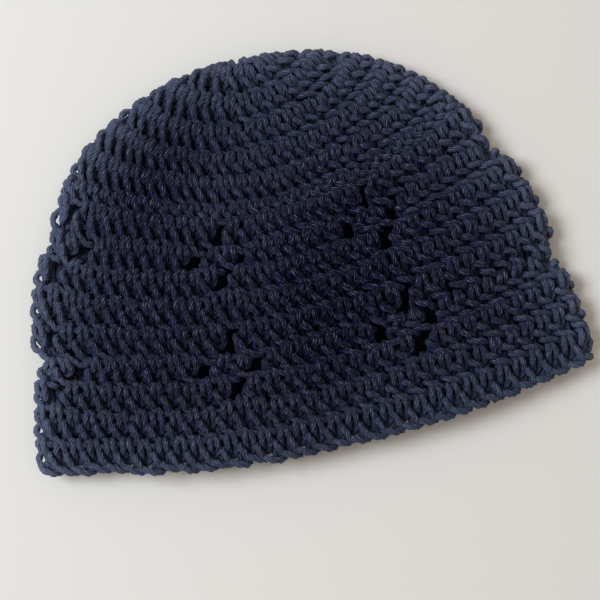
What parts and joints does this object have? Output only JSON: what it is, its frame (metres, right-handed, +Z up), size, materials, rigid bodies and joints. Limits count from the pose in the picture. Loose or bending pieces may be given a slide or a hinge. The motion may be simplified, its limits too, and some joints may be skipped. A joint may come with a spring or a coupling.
{
  "type": "crocheted beanie, lying flat",
  "caption": "Close-fitting knit-weight crochet hat with flower eyelets, laid flat on its side, brim open.",
  "frame": {"origin": "centre of the hat's bounding box, on the surface it lies on", "axes": "+X along the brim to the right, +Y from the brim's mouth to the crown, +Z up through the two layers"},
  "size_m": [0.2658, 0.1912, 0.022],
  "materials": {
    "navy_yarn": "matte plied yarn with a faint sheen"
  },
  "bodies": {
    "root": {"crocheted_beanie": "navy_yarn"}
  },
  "joints": []
}
